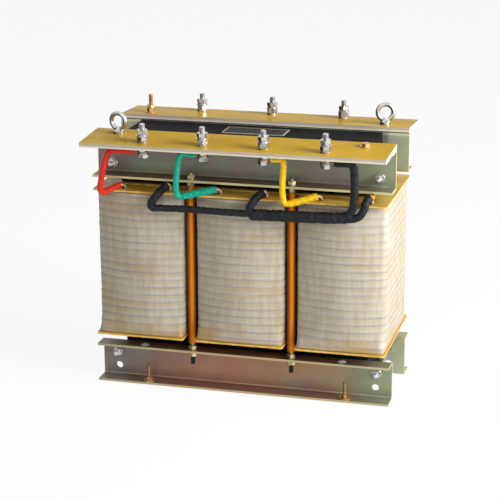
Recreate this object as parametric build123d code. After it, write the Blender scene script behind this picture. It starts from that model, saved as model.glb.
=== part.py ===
"""Open-frame dry-type three-phase transformer, in millimetres.

+X runs along the clamp channels, +Z is up and -Y is the side with the four front terminals.
The origin lies on the floor, under the middle of the frame.
"""
from build123d import *
import os
from math import cos, radians, sin, sqrt, tan

os.makedirs("parts", exist_ok=True)

# Clamp channels, bent from sheet, back to back with the core between them
frame_overhang = 45.0
bottom_channel_height = 72.0
top_channel_height = 73.5
channel_flange = 37.0
channel_sheet = 4.0
channel_bend = 3.0
channel_over_yoke = 2.5

# The top flanges were bent a little past square, so the boards on them droop outwards
board_droop = 3.2

# Core of stacked laminations: two yokes and three limbs
core_depth = 124.0
limb_width = 84.0
yoke_height = 85.0
core_floor_gap = 12.0
top_yoke_shift = -3.5

# Coils, each wound round a limb: flat beside its neighbours, crowned at the front and rear
coil_height = 266.0
winding_beside_limb = 38.5
winding_at_crown = 54.0
coil_crown_radius = 150.0
coil_corner = 26.0
coil_edge_round = 7.0
coil_bore_clearance = 2.0
coil_bore_corner = 3.0

# Insulating plate above and below each coil
plate_side_overhang = 1.0
plate_front_overhang = 0.5
plate_thickness = 3.0
plate_corner = 6.0

# Spacer strips on the upper plates, along the faces of the top yoke
spacer_thickness = 3.0
spacer_width = 12.0

# Terminal boards on the top channels
board_depth = 98.0
board_thickness = 8.0
board_edge_inset = 1.0

# Terminals: a bolt up through the board, with washers and nuts
front_terminal_pitch = 108.0
front_terminal_count = 4
rear_terminal_pitch = 135.0
rear_terminal_count = 3
terminal_row_setback = 25.0
terminal_diameter = 10.0
terminal_hole = 10.5
terminal_nut_flats = 17.0
terminal_nut_height = 8.0
terminal_head_height = 6.4
terminal_washer = 20.0
terminal_washer_thickness = 2.0
board_washer = 19.0
board_washer_thickness = 3.0
cap_washer = 21.0
spring_washer = 17.0
terminal_stud_reach = 33.0
front_terminal_turn = 11.0
rear_terminal_turn = 14.0

# Fixings of each board to its channel
fixing_inset = 49.0
fixing_setback = 28.0
fixing_diameter = 8.0
fixing_hole = 9.0
fixing_nut_flats = 13.0
fixing_nut_height = 6.5
fixing_tail = 4.0
small_washer = 18.0
small_washer_thickness = 1.6
rod_washer = 16.0
wide_washer = 20.0
eye_ring_diameter = 36.0
eye_hole_diameter = 20.0
eye_height = 40.0
eye_collar_diameter = 20.0
eye_collar_height = 6.0
eye_collar_chamfer = 1.0
eye_foot_diameter = 18.0
eye_foot_height = 6.0
front_eye_turn = -12.0
rear_eye_turn = 12.0
screw_head_flats = 13.0
screw_head_height = 5.3
screw_head_turn = 10.0
brass_stud_reach = 34.0

# Each nut on a stud stands turned from the one below it, in degrees
nut_turn_step = 23.0

# Tie rods between the top and bottom channels, in insulating tubes
rod_setback = 26.0
rod_diameter = 8.0
rod_hole = 9.0
rod_top_tail = 4.0
rod_bottom_tail = 15.0
tube_diameter = 14.5
tube_bore = 8.6
tube_bottom_gap = 13.0
tube_top_gap = 9.0
tube_to_coil = 3.75

# Clamp bolts across the core, beside its ends
clamp_beyond_yoke = 17.0
clamp_bolt_diameter = 8.0
clamp_hole = 9.0
top_clamp_height = 20.0
bottom_clamp_height = 48.0
clamp_tail = 12.0

# Open fixing holes, studs and plugs of the bottom channels
foot_hole_inset = 29.5
foot_hole_height = 21.0
foot_hole_diameter = 13.0
foot_stud_offset = 6.0
foot_stud_setback = 24.0
foot_stud_diameter = 6.0
foot_stud_reach = 31.0
foot_stud_nut_flats = 10.0
foot_stud_nut_height = 5.0
foot_stud_washer = 24.0
plug_setback = 23.0
plug_diameter = 16.0
plug_height = 3.0

# Rating plate on the top yoke, left bare
rating_plate_length = 114.0
rating_plate_depth = 48.0
rating_plate_thickness = 1.0
rating_plate_y = 16.0

# Winding leads, stiff wires in insulating sleeves
lead_diameter = 11.0
lead_stub_diameter = 8.0
lead_bend_limit = 40.0
lead_bend_share = 0.45
lug_diameter = 19.0
lug_thickness = 3.0
lug_barrel_diameter = 9.0
lug_barrel_length = 7.0
lug_washer_gap = 0.5
riser_diameter = 12.5
harness_diameter = 20.0
harness_taper = 16.0

# Levels, from the floor up
bottom_yoke_top = core_floor_gap + yoke_height
coil_base = bottom_yoke_top + plate_thickness
coil_top = coil_base + coil_height
top_plate_top = coil_top + plate_thickness
top_yoke_base = top_plate_top + spacer_thickness
top_yoke_top = top_yoke_base + yoke_height
channel_top = top_yoke_top + channel_over_yoke
channel_base = channel_top - top_channel_height
board_top = channel_top + board_thickness

# Places that follow from the sizes
half_core = core_depth / 2
coil_width = limb_width + 2 * winding_beside_limb
coil_depth = core_depth + 2 * winding_at_crown
limb_pitch = coil_width + tube_diameter + 2 * tube_to_coil
yoke_length = 2 * limb_pitch + limb_width
frame_length = yoke_length + 2 * frame_overhang
plate_width = coil_width + 2 * plate_side_overhang
plate_depth = coil_depth + 2 * plate_front_overhang
fixing_spacing = frame_length - 2 * fixing_inset
clamp_spacing = yoke_length + 2 * clamp_beyond_yoke
foot_hole_spacing = frame_length - 2 * foot_hole_inset
fixing_y = half_core + fixing_setback
rod_y = half_core + rod_setback
foot_stud_y = half_core + foot_stud_setback
plug_y = half_core + plug_setback
coil_centres = {"left": -limb_pitch, "centre": 0.0, "right": limb_pitch}
board_inner_y = half_core + board_edge_inset
board_outer_y = board_inner_y + board_depth
terminal_y = board_outer_y - terminal_row_setback
lug_barrel_start = terminal_washer / 2 + lug_washer_gap
lead_start = lug_barrel_start + lug_barrel_length / 2
lug_level = channel_top - terminal_nut_height - lug_thickness / 2
limb_height = top_yoke_base - bottom_yoke_top


def save(part, node):
    """Write one piece to its own file."""
    part.label = node
    export_step(part, f"parts/{node}.step")


def rear(part):
    """The mirror image of a front piece, on the rear side."""
    return mirror(part, Plane.XZ)


def drooped(part, side):
    """Turns what sits on a top flange down with it: side is -1 at the front and 1 at the rear."""
    edge = Axis((0, side * half_core, channel_top), (1, 0, 0))
    return part.rotate(edge, -side * board_droop)


def block(length, depth, height, x=0.0, y=0.0, z=0.0):
    """A box centred on x and y that stands on level z."""
    return Pos(x, y, z) * Box(length, depth, height, align=(Align.CENTER, Align.CENTER, Align.MIN))


def disc(diameter, height, x=0.0, y=0.0, z=0.0):
    """An upright round bar or washer that stands on level z."""
    return Pos(x, y, z) * Cylinder(diameter / 2, height, align=(Align.CENTER, Align.CENTER, Align.MIN))


def hexagon(flats, height, x=0.0, y=0.0, z=0.0, turn=0.0):
    """An upright hexagon bar, such as a nut or a bolt head, that stands on level z."""
    outline = RegularPolygon(flats / 2, 6, major_radius=False, rotation=turn)
    return Pos(x, y, z) * extrude(outline, height)


def stack(x, y, z, layers, turn=0.0):
    """Washers, nuts and plain lengths threaded on one axis, listed from level z upwards.

    Each layer is a shape, its diameter or width across flats, and its height.
    """
    pieces = []
    level = z
    for number, (shape, size, height) in enumerate(layers):
        if shape == "hex":
            pieces.append(hexagon(size, height, x, y, level, turn + nut_turn_step * number))
        else:
            pieces.append(disc(size, height, x, y, level))
        level += height
    whole = pieces[0]
    for piece in pieces[1:]:
        whole = whole + piece
    return whole


def limb_bore(height, x, z):
    """The clear space for a limb through a coil or a plate."""
    width = limb_width + 2 * coil_bore_clearance
    depth = core_depth + 2 * coil_bore_clearance
    return Pos(x, 0, z) * extrude(RectangleRounded(width, depth, coil_bore_corner), height)


# Core
def yoke(x, z):
    return block(yoke_length, core_depth, yoke_height, x, 0, z)


def limbs():
    def bar(x):
        return block(limb_width, core_depth, limb_height, x, 0, bottom_yoke_top)
    return Compound(children=[bar(x) for x in coil_centres.values()])


# Coils and their end plates
def coil_plan():
    """The outline of a coil from above, with its crowned front and rear and round corners."""
    side = coil_width / 2
    tip = coil_depth / 2
    shoulder = tip - coil_crown_radius + sqrt(coil_crown_radius ** 2 - side ** 2)
    edges = [
        ThreePointArc((-side, -shoulder), (0, -tip), (side, -shoulder)),
        Line((side, -shoulder), (side, shoulder)),
        ThreePointArc((side, shoulder), (0, tip), (-side, shoulder)),
        Line((-side, shoulder), (-side, -shoulder)),
    ]
    outline = make_face(edges)
    return fillet(outline.vertices(), coil_corner)


def coil(x):
    body = Pos(x, 0, coil_base) * extrude(coil_plan(), coil_height)
    levels = body.faces().sort_by(Axis.Z)
    rims = levels[0].edges() + levels[-1].edges()
    return fillet(rims, coil_edge_round) - limb_bore(coil_height, x, coil_base)


def end_plate(x, z):
    slab = Pos(x, 0, z) * extrude(RectangleRounded(plate_width, plate_depth, plate_corner), plate_thickness)
    return slab - limb_bore(plate_thickness, x, z)


def spacer_strips():
    """A strip along each face of the core, on the upper end plates."""
    y = half_core + spacer_width / 2
    front = block(yoke_length, spacer_width, spacer_thickness, 0, -y, top_plate_top)
    return Compound(children=[front, rear(front)])


# Clamp channels
def channel_blank(z, height, droop):
    """A channel on the front side, its back against the core and its flanges forward.

    The upper flange falls away from square by the given angle.
    """
    fall = radians(droop)
    tip = (channel_flange * cos(fall), height - channel_flange * sin(fall))
    under_tip = (tip[0] - channel_sheet * sin(fall), tip[1] - channel_sheet * cos(fall))
    under_bend = under_tip[1] + (under_tip[0] - channel_sheet) * tan(fall)
    outline = Polyline(
        (0, 0), (0, height), tip, under_tip, (channel_sheet, under_bend), (channel_sheet, channel_sheet),
        (channel_flange, channel_sheet), (channel_flange, 0), close=True)
    profile = make_face(outline)
    profile = fillet(profile.vertices().group_by(Axis.X)[0], channel_bend + channel_sheet)
    inner = [v for v in profile.vertices() if abs(v.X - channel_sheet) < channel_bend / 2
             and channel_sheet / 2 < v.Y < height - channel_sheet / 2]
    profile = fillet(inner, channel_bend)
    plane = Plane(origin=(0, -half_core, z), x_dir=(0, -1, 0), z_dir=(-1, 0, 0))
    return extrude(plane * profile, frame_length / 2, both=True)


def flange_hole(diameter, x, y, z):
    """A drill through a flange whose lower face is at level z."""
    return disc(diameter, 3 * channel_sheet, x, -y, z - channel_sheet)


def web_hole(diameter, x, z):
    """A drill through the web at height z."""
    drill = Cylinder(diameter / 2, 3 * channel_sheet)
    return Pos(x, -half_core - channel_sheet / 2, z) * Rot(90, 0, 0) * drill


def top_channel():
    part = channel_blank(channel_base, top_channel_height, board_droop)
    for side in (-1, 1):
        fixing = flange_hole(fixing_hole, side * fixing_spacing / 2, fixing_y, channel_top - channel_sheet)
        part -= drooped(fixing, -1)
        part -= flange_hole(rod_hole, side * limb_pitch / 2, rod_y, channel_base)
        part -= web_hole(clamp_hole, side * clamp_spacing / 2, channel_base + top_clamp_height)
    return part


def bottom_channel():
    height = bottom_channel_height
    part = channel_blank(0, height, 0)
    for side in (-1, 1):
        part -= flange_hole(rod_hole, side * limb_pitch / 2, rod_y, height - channel_sheet)
        part -= flange_hole(foot_stud_diameter, side * limb_pitch + foot_stud_offset, foot_stud_y, 0)
        part -= web_hole(clamp_hole, side * clamp_spacing / 2, bottom_clamp_height)
        part -= web_hole(foot_hole_diameter, side * foot_hole_spacing / 2, foot_hole_height)
    return part


# Terminal boards and what they carry
def row_places(count, pitch):
    """Places along X of a centred row."""
    return [(number - (count - 1) / 2) * pitch for number in range(count)]


def board(places):
    y = -(board_inner_y + board_depth / 2)
    part = block(frame_length, board_depth, board_thickness, 0, y, channel_top)
    for x in places:
        part -= disc(terminal_hole, 3 * board_thickness, x, -terminal_y, channel_top - board_thickness)
    for side in (-1, 1):
        x = side * fixing_spacing / 2
        part -= disc(fixing_hole, 3 * board_thickness, x, -fixing_y, channel_top - board_thickness)
    return drooped(part, -1)


def terminal(x, side, lug_gap, turn):
    """A bolt with its head below the board, a nut each side of it and a nut for the outer lead."""
    below = [
        ("hex", terminal_nut_flats, terminal_head_height),
        ("disc", terminal_washer, terminal_washer_thickness),
        ("disc", terminal_diameter, lug_gap),
        ("hex", terminal_nut_flats, terminal_nut_height),
        ("disc", terminal_diameter, board_thickness),
    ]
    below = [layer for layer in below if layer[2] > 0]
    above = [
        ("disc", board_washer, board_washer_thickness),
        ("hex", terminal_nut_flats, terminal_nut_height),
        ("disc", cap_washer, terminal_washer_thickness),
        ("disc", spring_washer, terminal_washer_thickness),
        ("hex", terminal_nut_flats, terminal_nut_height),
    ]
    stud = terminal_stud_reach - sum(layer[2] for layer in above)
    depth_below = sum(layer[2] for layer in below) - board_thickness
    layers = below + above + [("disc", terminal_diameter, stud)]
    return drooped(stack(x, side * terminal_y, channel_top - depth_below, layers, turn), side)


def fixing_tail_below(x, y):
    """The lower end of a board fixing: shank, washer, nut and tail under the channel's top flange."""
    layers = [
        ("disc", fixing_diameter, fixing_tail),
        ("hex", fixing_nut_flats, fixing_nut_height),
        ("disc", small_washer, small_washer_thickness),
        ("disc", fixing_diameter, channel_sheet + board_thickness),
    ]
    depth = sum(layer[2] for layer in layers)
    return stack(x, y, board_top - depth, layers)


def lifting_eye(x, side, turn):
    """An eye bolt: a forged ring on a flared foot and collar, with its shank through the board."""
    wire = (eye_ring_diameter - eye_hole_diameter) / 4
    ring_radius = (eye_ring_diameter + eye_hole_diameter) / 4
    ring_level = eye_height - eye_ring_diameter / 2
    collar = disc(eye_collar_diameter, eye_collar_height)
    collar = chamfer(collar.edges().sort_by(Axis.Z)[-1], eye_collar_chamfer)
    foot = Pos(0, 0, eye_collar_height) * Cone(
        eye_foot_diameter / 2, wire, eye_foot_height, align=(Align.CENTER, Align.CENTER, Align.MIN))
    ring = Pos(0, 0, ring_level) * Rot(90, 0, 0) * Torus(ring_radius, wire)
    bore = Pos(0, 0, ring_level) * Rot(90, 0, 0) * Cylinder(eye_hole_diameter / 2, 2 * wire)
    eye = (collar + (foot - bore)) + ring
    y = side * fixing_y
    return drooped(Pos(x, y, board_top) * Rot(0, 0, turn) * eye + fixing_tail_below(x, y), side)


def board_screw(x, side):
    y = side * fixing_y
    layers = [
        ("disc", wide_washer, small_washer_thickness),
        ("hex", screw_head_flats, screw_head_height),
    ]
    return drooped(stack(x, y, board_top, layers, screw_head_turn) + fixing_tail_below(x, y), side)


def brass_stud(x, side):
    y = side * fixing_y
    layers = [
        ("disc", wide_washer, small_washer_thickness),
        ("hex", fixing_nut_flats, fixing_nut_height),
        ("hex", fixing_nut_flats, fixing_nut_height),
    ]
    free = brass_stud_reach - sum(layer[2] for layer in layers)
    layers.append(("disc", fixing_diameter, free))
    return drooped(stack(x, y, board_top, layers) + fixing_tail_below(x, y), side)


# Tie rods and their tubes
def tie_rod(x):
    """A rod with a washer and a nut on each side of both the flanges that it joins."""
    nut = ("hex", fixing_nut_flats, fixing_nut_height)
    washer = ("disc", rod_washer, small_washer_thickness)
    flange = ("disc", rod_diameter, channel_sheet)
    clamp = small_washer_thickness + fixing_nut_height
    between = channel_base - bottom_channel_height - 2 * clamp
    low = bottom_channel_height - channel_sheet - clamp - rod_bottom_tail
    layers = [("disc", rod_diameter, rod_bottom_tail), nut, washer, flange, washer, nut,
              ("disc", rod_diameter, between), nut, washer, flange, washer, nut,
              ("disc", rod_diameter, rod_top_tail)]
    return stack(x, -rod_y, low, layers)


def tie_tube(x):
    base = bottom_channel_height + tube_bottom_gap
    length = channel_base - tube_top_gap - base
    return disc(tube_diameter, length, x, -rod_y, base) - disc(tube_bore, length, x, -rod_y, base)


# Clamp bolts, studs and plugs
def clamp_bolt(x, z):
    """A long bolt from the rear web to the front web, with its nut and tail at the front."""
    grip = core_depth + 2 * channel_sheet
    layers = [
        ("disc", clamp_bolt_diameter, clamp_tail),
        ("hex", fixing_nut_flats, fixing_nut_height),
        ("disc", small_washer, small_washer_thickness),
        ("disc", clamp_bolt_diameter, grip),
        ("disc", small_washer, small_washer_thickness),
        ("hex", fixing_nut_flats, fixing_nut_height),
    ]
    front_end = -(grip / 2 + small_washer_thickness + fixing_nut_height + clamp_tail)
    return Pos(x, front_end, z) * Rot(-90, 0, 0) * stack(0, 0, 0, layers)


def foot_stud(x):
    layers = [
        ("disc", foot_stud_diameter, channel_sheet),
        ("disc", foot_stud_washer, small_washer_thickness),
        ("hex", foot_stud_nut_flats, foot_stud_nut_height),
    ]
    free = foot_stud_reach - sum(layer[2] for layer in layers[1:])
    return stack(x, -foot_stud_y, 0, layers + [("disc", foot_stud_diameter, free)])


def plug(x):
    """A low domed head on the bottom channel's top flange."""
    rise = plug_height
    dome_radius = (plug_diameter ** 2 / 4 + rise ** 2) / (2 * rise)
    ball = Pos(x, -plug_y, bottom_channel_height + rise - dome_radius) * Sphere(dome_radius)
    return ball & disc(plug_diameter, rise, x, -plug_y, bottom_channel_height)


def both_sides(make, places):
    """Copies of a front piece at the given places and mirrored to the rear, as separate solids."""
    fronts = [make(x) for x in places]
    return Compound(children=fronts + [rear(piece) for piece in fronts])


# Leads
def bend_radii(points):
    """The arcs at the corners of a route: a share of the shorter run, up to the bending limit."""
    radii = []
    for before, here, after in zip(points, points[1:], points[2:]):
        first = Vector(*here) - Vector(*before)
        second = Vector(*after) - Vector(*here)
        half_turn = radians(first.get_angle(second)) / 2
        fit = lead_bend_share * min(first.length, second.length) / tan(half_turn)
        radii.append(min(fit, lead_bend_limit))
    return radii


def wire(points, diameter):
    """A round lead along straight runs joined by tangent arcs."""
    path = FilletPolyline(*points, radius=bend_radii(points))
    section = Plane(origin=path @ 0, z_dir=path % 0) * Circle(diameter / 2)
    return sweep(section, path)


def rod_between(start, end, start_radius, end_radius):
    """A straight round or tapered bar from one point to another."""
    axis = Vector(*end) - Vector(*start)
    plane = Plane(origin=start, z_dir=axis)
    if start_radius == end_radius:
        shape = Cylinder(start_radius, axis.length, align=(Align.CENTER, Align.CENTER, Align.MIN))
    else:
        shape = Cone(start_radius, end_radius, axis.length, align=(Align.CENTER, Align.CENTER, Align.MIN))
    return plane.location * shape


def lug(x, direction):
    """A ring lug under a front terminal and its crimp barrel towards the lead."""
    ring = disc(lug_diameter, lug_thickness, x, -terminal_y, lug_level - lug_thickness / 2)
    middle = lug_barrel_start + lug_barrel_length / 2
    barrel = Pos(x + direction * middle, -terminal_y, lug_level) * Rot(0, 90, 0) * Cylinder(
        lug_barrel_diameter / 2, lug_barrel_length)
    tongue = block(middle, lug_barrel_diameter, lug_thickness, x + direction * middle / 2, -terminal_y,
                   lug_level - lug_thickness / 2)
    eye = disc(terminal_hole, 3 * lug_thickness, x, -terminal_y, lug_level - 1.5 * lug_thickness)
    return drooped((ring + tongue + barrel) - eye, -1)


def lead_end(terminal_x, direction):
    """The middle of a lug's barrel, where its lead starts."""
    level = Vertex(terminal_x + direction * lead_start, -terminal_y, lug_level)
    return tuple(drooped(level, -1).center())


def landing(point, direction):
    """The bared end of a lead, bent down onto the end plate of its coil."""
    start = Vector(*point)
    tip = start + Vector(*direction).normalized() * lead_stub_diameter
    neck = rod_between(tuple(start), tuple(tip), lead_stub_diameter / 2, lead_stub_diameter / 2)
    knuckle = Pos(tip.X, tip.Y, tip.Z) * Sphere(lead_stub_diameter / 2)
    post = disc(lead_stub_diameter, tip.Z - top_plate_top, tip.X, tip.Y, top_plate_top)
    return neck + knuckle + post


def phase_lead(terminal_x, direction, route, end_direction):
    """A sleeved lead from its lug to its coil. The route starts at the lug's barrel."""
    points = [lead_end(terminal_x, direction)] + route
    return lug(terminal_x, direction) + wire(points, lead_diameter) + landing(points[-1], end_direction)


def over_plate(points):
    """A route whose heights are given from the top of the upper end plates."""
    return [(x, y, top_plate_top + rise) for x, y, rise in points]


red_route = over_plate([
    (-231, -136, 77), (-242, -133, 39), (-240, -131, 2), (-229, -119, 8), (-214, -107, 8)])
green_route = over_plate([
    (-101, -136, 75), (-103, -133, 39), (-98, -131, 3), (-61, -125, 5), (-38, -107, 9)])
yellow_route = over_plate([
    (91, -136, 77), (89, -133, 39), (94, -131, 3), (120, -125, 5), (143, -107, 8)])
riser_route = over_plate([(212, -136, 78), (212, -131, 39), (211, -128, 6), (200, -127, -17)])
harness_ends = over_plate([(192, -127, -21), (56, -127, -21)])
tail_route = over_plate([
    (60, -126, -21), (20, -123, -24), (-60, -123, -23), (-140, -123, -23), (-154, -126, -11),
    (-148, -122, 9), (-134, -107, 10)])
centre_branch = over_plate([(44, -126, -21), (27, -126, -11), (30, -122, 9), (43, -107, 10)])
right_branch = over_plate([
    (190, -127, -21), (216, -127, -20), (235, -127, -5), (236, -121, 10), (233, -107, 10)])


def neutral_lead():
    """The taped star-point lead: a thick joint across the right coils, and a branch to each coil."""
    terminal_x = row_places(front_terminal_count, front_terminal_pitch)[-1]
    body = lug(terminal_x, 1) + wire([lead_end(terminal_x, 1)] + riser_route, riser_diameter)
    right, left = (Vector(*end) for end in harness_ends)
    body += rod_between(tuple(right), tuple(left), harness_diameter / 2, harness_diameter / 2)
    thin = lead_diameter / 2
    for end, reach in ((left, -harness_taper), (right, harness_taper)):
        body += rod_between(tuple(end), (end.X + reach, end.Y, end.Z), harness_diameter / 2, thin)
    for route, towards in ((tail_route, (1, 1, 0)), (centre_branch, (1, 1, 0)), (right_branch, (0, 1, 0))):
        body += wire(route, lead_diameter) + landing(route[-1], towards)
    return body


# The assembly, node by node
save(yoke(top_yoke_shift, top_yoke_base), "core_yoke_top")
save(yoke(0, core_floor_gap), "core_yoke_bottom")
save(limbs(), "core_limbs")
for side, x in coil_centres.items():
    save(coil(x), f"coil_{side}")
    save(end_plate(x, coil_top), f"end_plate_top_{side}")
    save(end_plate(x, bottom_yoke_top), f"end_plate_bottom_{side}")
save(spacer_strips(), "spacer_strips")

save(top_channel(), "channel_top_front")
save(rear(top_channel()), "channel_top_rear")
save(bottom_channel(), "channel_bottom_front")
save(rear(bottom_channel()), "channel_bottom_rear")

front_places = row_places(front_terminal_count, front_terminal_pitch)
rear_places = row_places(rear_terminal_count, rear_terminal_pitch)
save(board(front_places), "terminal_board_front")
save(rear(board(rear_places)), "terminal_board_rear")
for number, x in enumerate(front_places, 1):
    save(terminal(x, -1, lug_thickness, front_terminal_turn * number), f"terminal_front_{number}")
for number, x in enumerate(rear_places, 1):
    save(terminal(x, 1, 0, rear_terminal_turn * number), f"terminal_rear_{number}")

fixing_x = fixing_spacing / 2
save(lifting_eye(-fixing_x, -1, front_eye_turn), "lifting_eye_front")
save(lifting_eye(fixing_x, 1, rear_eye_turn), "lifting_eye_rear")
save(board_screw(fixing_x, -1), "board_screw_front")
save(brass_stud(-fixing_x, 1), "board_stud_rear")

rod_places = (-limb_pitch / 2, limb_pitch / 2)
save(Compound(children=[tie_rod(x) for x in rod_places]), "tie_rods_front")
save(Compound(children=[rear(tie_rod(x)) for x in rod_places]), "tie_rods_rear")
save(Compound(children=[tie_tube(x) for x in rod_places]), "tie_tubes_front")
save(Compound(children=[rear(tie_tube(x)) for x in rod_places]), "tie_tubes_rear")

clamp_places = (-clamp_spacing / 2, clamp_spacing / 2)
top_clamp_level = channel_base + top_clamp_height
save(Compound(children=[clamp_bolt(x, top_clamp_level) for x in clamp_places]), "clamp_bolts_top")
save(Compound(children=[clamp_bolt(x, bottom_clamp_height) for x in clamp_places]), "clamp_bolts_bottom")

foot_stud_places = (-limb_pitch + foot_stud_offset, limb_pitch + foot_stud_offset)
save(both_sides(foot_stud, foot_stud_places), "foot_studs")
save(both_sides(plug, (-limb_pitch, limb_pitch)), "flange_plugs")
rating_plate = block(rating_plate_length, rating_plate_depth, rating_plate_thickness)
save(Pos(0, rating_plate_y, top_yoke_top) * rating_plate, "rating_plate")

save(phase_lead(front_places[0], -1, red_route, (1, 1, 0)), "lead_red")
save(phase_lead(front_places[1], -1, green_route, (1, 1, 0)), "lead_green")
save(phase_lead(front_places[2], 1, yellow_route, (1, 1, 0)), "lead_yellow")
save(neutral_lead(), "lead_neutral")
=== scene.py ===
from math import cos, pi, radians, sin, sqrt, tan

import bmesh
import bpy
from mathutils import Matrix, Vector, noise


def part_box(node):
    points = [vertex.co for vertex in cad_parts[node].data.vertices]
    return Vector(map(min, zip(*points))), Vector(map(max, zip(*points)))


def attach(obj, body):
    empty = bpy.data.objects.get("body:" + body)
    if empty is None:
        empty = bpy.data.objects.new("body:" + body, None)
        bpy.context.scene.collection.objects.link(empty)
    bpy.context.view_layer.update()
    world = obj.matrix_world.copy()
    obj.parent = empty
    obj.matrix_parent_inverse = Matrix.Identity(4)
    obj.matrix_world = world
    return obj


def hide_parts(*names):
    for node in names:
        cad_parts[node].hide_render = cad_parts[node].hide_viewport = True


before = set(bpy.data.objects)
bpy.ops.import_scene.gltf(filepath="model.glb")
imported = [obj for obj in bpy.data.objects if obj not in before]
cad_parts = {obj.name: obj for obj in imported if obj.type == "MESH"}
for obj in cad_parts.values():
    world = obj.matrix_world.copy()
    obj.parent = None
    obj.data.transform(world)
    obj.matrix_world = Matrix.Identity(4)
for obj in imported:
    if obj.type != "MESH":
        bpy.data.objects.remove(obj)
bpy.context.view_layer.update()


# Core: two yokes and three limbs stacked from thin silicon steel sheets, cut, piled and then
# varnished black. The sheets lie one behind the other, so their edges show as fine lines on
# the ends and along the top, and the outermost sheet is smooth.
class Socket:
    """An output of a node, on which sums are written as in Python."""

    def __init__(self, nodes, link):
        self.nodes = nodes
        self.link = link

    def maths(self, operation, first, second=0.0):
        return self.nodes.node("ShaderNodeMath", {"operation": operation}, {0: first, 1: second})

    def __add__(self, other):
        return self.maths("ADD", self, other)

    def __sub__(self, other):
        return self.maths("SUBTRACT", self, other)

    def __mul__(self, other):
        return self.maths("MULTIPLY", self, other)

    def __truediv__(self, other):
        return self.maths("DIVIDE", self, other)

    def __rsub__(self, other):
        return self.maths("SUBTRACT", other, self)

    def __rtruediv__(self, other):
        return self.maths("DIVIDE", other, self)

    def __abs__(self):
        return self.maths("ABSOLUTE", self)

    def fraction(self):
        return self.maths("FRACT", self)

    def larger(self, other):
        return self.maths("MAXIMUM", self, other)

    __radd__ = __add__
    __rmul__ = __mul__


class Nodes:
    """A tree of shader nodes, which all come from one method."""

    def __init__(self, tree):
        self.tree = tree

    def node(self, kind, settings=None, inputs=None, output=0):
        node = self.tree.nodes.new(kind)
        for key, value in (settings or {}).items():
            if key == "stops":
                ramp = node.color_ramp
                while len(ramp.elements) < len(value):
                    ramp.elements.new(1.0)
                for element, (place, colour) in zip(ramp.elements, value):
                    element.position = place
                    element.color = colour
            else:
                setattr(node, key, value)
        for key, value in (inputs or {}).items():
            if isinstance(value, Socket):
                self.tree.links.new(value.link, node.inputs[key])
            else:
                node.inputs[key].default_value = value
        return Socket(self, node.outputs[output])

    def connect(self, value, name, socket):
        """Leads a value to a socket of a node that the tree has from the start."""
        self.tree.links.new(value.link, self.tree.nodes[name].inputs[socket])

    def seen_direct(self):
        """1 where the camera looks straight on a surface, in a mirror or through glass, else 0."""
        camera_ray, mirrored, through = (
            self.node("ShaderNodeLightPath", output="Is %s Ray" % kind)
            for kind in ("Camera", "Glossy", "Transmission"))
        return camera_ray.larger(mirrored).larger(through)


class Finish(Nodes):
    """A surface finish: one Principled shader, and the nodes that vary it."""

    def __init__(self, name, **constants):
        self.material = bpy.data.materials.new(name)
        self.material.use_nodes = True
        super().__init__(self.material.node_tree)
        self.shader = self.tree.nodes["Principled BSDF"]
        for key, value in constants.items():
            socket = key.replace("_", " ").title().replace("Ior", "IOR")
            self.shader.inputs[socket].default_value = value

    def place(self, stretch=(1.0, 1.0, 1.0), shift=(0.0, 0.0, 0.0)):
        """The piece's own coordinates in metres, moved and then stretched."""
        here = self.node("ShaderNodeTexCoord", output="Object")
        return self.node("ShaderNodeMapping", {}, {"Vector": here, "Location": shift, "Scale": stretch})

    def part(self, axis):
        """One coordinate of the surface in metres: 0 along x, 1 along y, 2 upwards."""
        here = self.node("ShaderNodeTexCoord", output="Object")
        return self.node("ShaderNodeSeparateXYZ", {}, {0: here}, axis)

    def facing(self, axis):
        """How squarely the surface faces one axis, from -1 to 1."""
        normal = self.node("ShaderNodeNewGeometry", output="Normal")
        return self.node("ShaderNodeSeparateXYZ", {}, {0: normal}, axis)

    def cloud(self, size, detail=3.0, stretch=(1.0, 1.0, 1.0), shift=(0.0, 0.0, 0.0), rough=0.5, warp=0.0):
        """Soft random patches of about the given size in metres, from 0 to 1."""
        inputs = {"Vector": self.place(stretch, shift), "Scale": 1.0 / size, "Detail": detail,
                  "Roughness": rough, "Distortion": warp}
        return self.node("ShaderNodeTexNoise", {}, inputs)

    def between(self, value, low, high, out_low=0.0, out_high=1.0):
        """A value spread out between two limits, smoothly and held at its ends."""
        settings = {"interpolation_type": "SMOOTHSTEP"}
        inputs = {0: value, 1: low, 2: high, 3: out_low, 4: out_high}
        return self.node("ShaderNodeMapRange", settings, inputs)

    def mix(self, share, first, second, blend="MIX"):
        """Two colours mixed by a share from 0 to 1."""
        settings = {"data_type": "RGBA", "blend_type": blend}
        return self.node("ShaderNodeMix", settings, {0: share, 6: first, 7: second}, 2)

    def feed(self, **links):
        for key, value in links.items():
            self.connect(value, "Principled BSDF", key.replace("_", " ").title())

    def bump(self, height, depth, strength=1.0, under=None):
        """Relief of the given depth in metres from a height between 0 and 1."""
        inputs = {"Height": height, "Distance": depth, "Strength": strength}
        if under is not None:
            inputs["Normal"] = under
        return self.node("ShaderNodeBump", {}, inputs)


def paint(red, green, blue):
    """A colour as seen, in steps of 255, as the shader takes it."""
    def straight(step):
        share = step / 255
        return share / 12.92 if share <= 0.04045 else ((share + 0.055) / 1.055) ** 2.4
    return (straight(red), straight(green), straight(blue), 1.0)


def wear(name, finish):
    """Puts a finish on a piece that keeps its CAD shape."""
    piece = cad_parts[name]
    piece.data.materials.clear()
    piece.data.materials.append(finish.material)


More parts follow.
